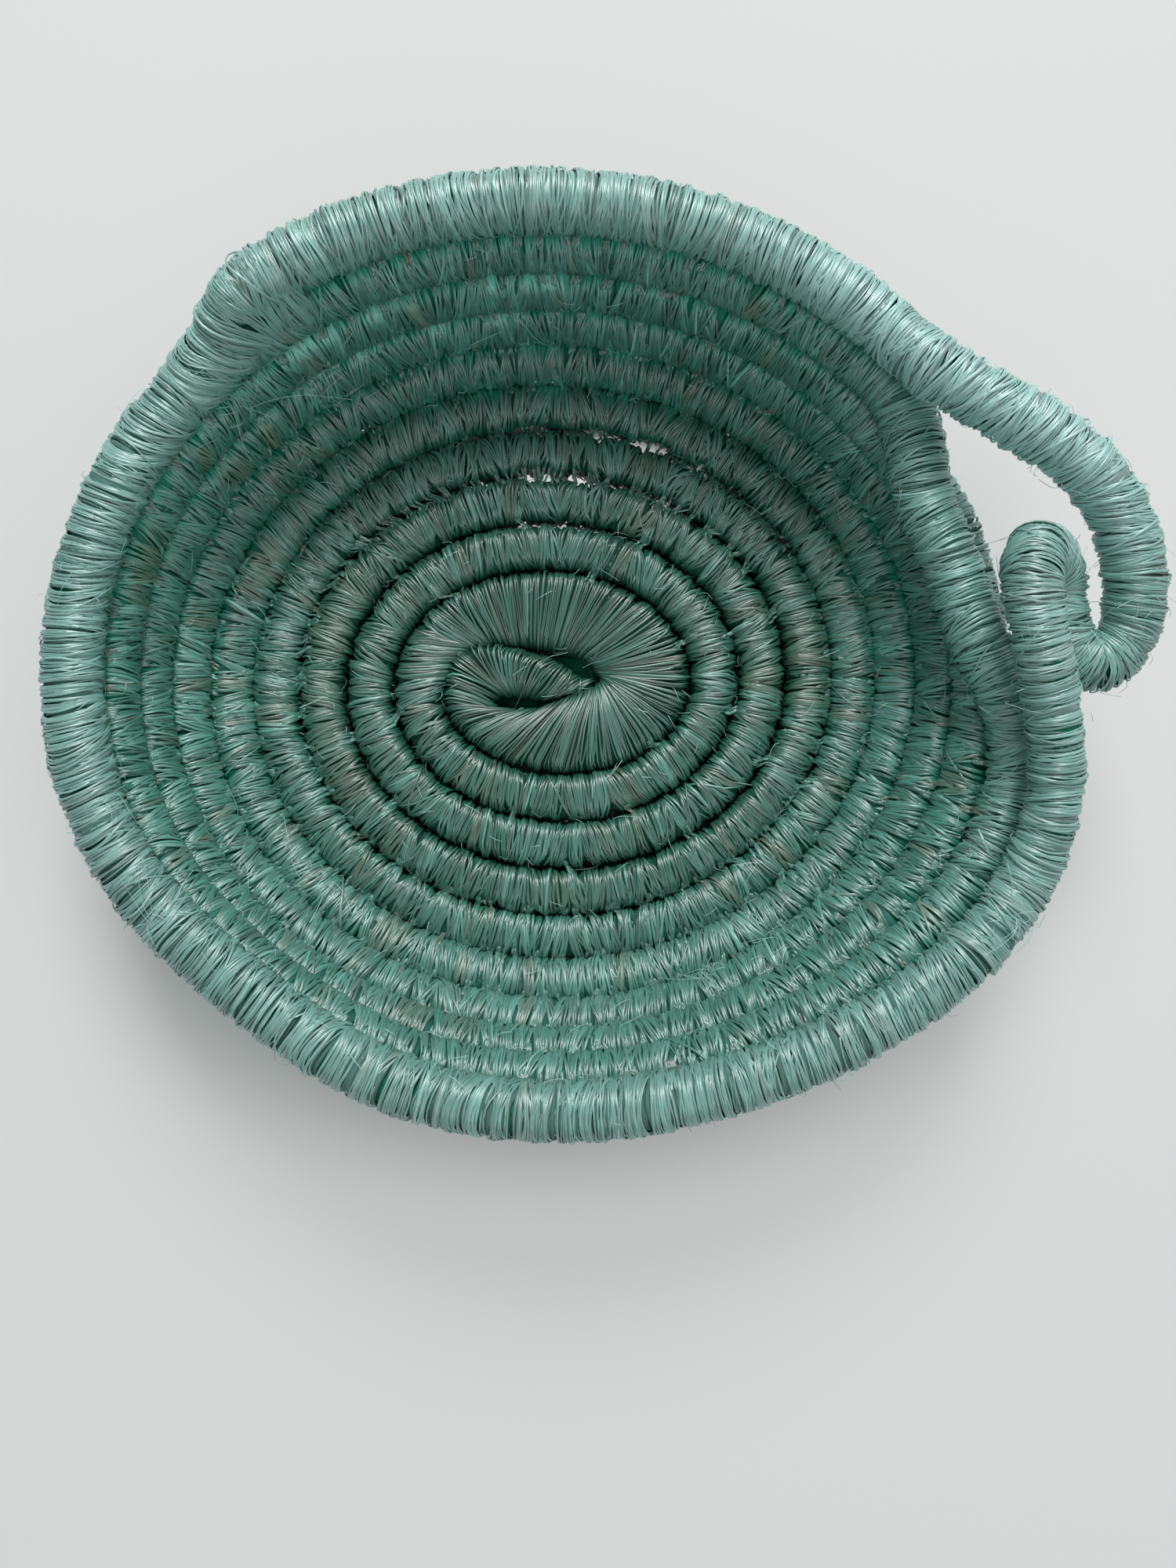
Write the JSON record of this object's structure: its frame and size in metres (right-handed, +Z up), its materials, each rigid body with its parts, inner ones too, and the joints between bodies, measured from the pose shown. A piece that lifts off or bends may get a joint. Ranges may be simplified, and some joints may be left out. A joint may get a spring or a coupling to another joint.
{
  "type": "coiled rope basket",
  "caption": "Shallow oval bowl wound from one fibre-wrapped rope, with a free kinked loop of the last turn as a handle on one side",
  "frame": {"origin": "middle of the underside of the first turns of the coil, on the flat that the basket stands on", "axes": "+Z up out of the bowl, +X towards the handle loop, +Y across the bowl towards the tail of the rope"},
  "size_m": [0.2878, 0.2437, 0.0831],
  "materials": {
    "wrap": "silky mint green fibre strands, wound close",
    "stitch": "pulled-tight strands of the same mint fibre",
    "core": "undyed bundled fibre"
  },
  "bodies": {
    "basket": {"bowl_wrap": "wrap", "bowl_core": "core", "tail_wrap": "wrap", "tail_core": "core", "handle_lower_binding": "stitch", "handle_upper_binding": "stitch", "rope_end_binding": "stitch", "stitch_01": "stitch", "stitch_02": "stitch", "stitch_03": "stitch", "stitch_04": "stitch", "stitch_05": "stitch", "stitch_06": "stitch", "stitch_07": "stitch", "stitch_08": "stitch", "stitch_09": "stitch", "stitch_10": "stitch", "stitch_11": "stitch", "stitch_12": "stitch", "stitch_13": "stitch", "stitch_14": "stitch", "stitch_15": "stitch", "stitch_16": "stitch", "stitch_17": "stitch", "stitch_18": "stitch", "stitch_19": "stitch", "stitch_20": "stitch", "stitch_21": "stitch", "stitch_22": "stitch", "stitch_23": "stitch", "stitch_24": "stitch", "stitch_25": "stitch", "stitch_26": "stitch", "stitch_27": "stitch", "stitch_28": "stitch"},
    "handle": {"handle_wrap": "wrap", "handle_core": "core"}
  },
  "joints": [
    {"name": "handle_flex", "type": "hinge", "parent": "basket", "child": "handle", "pos_m": [0.1237, -0.05374, 0.05921], "axis": [0.2649, -0.9623, -0.0612], "range_deg": [-10, 25], "stiffness_Nm_per_rad": 1.5}
  ]
}
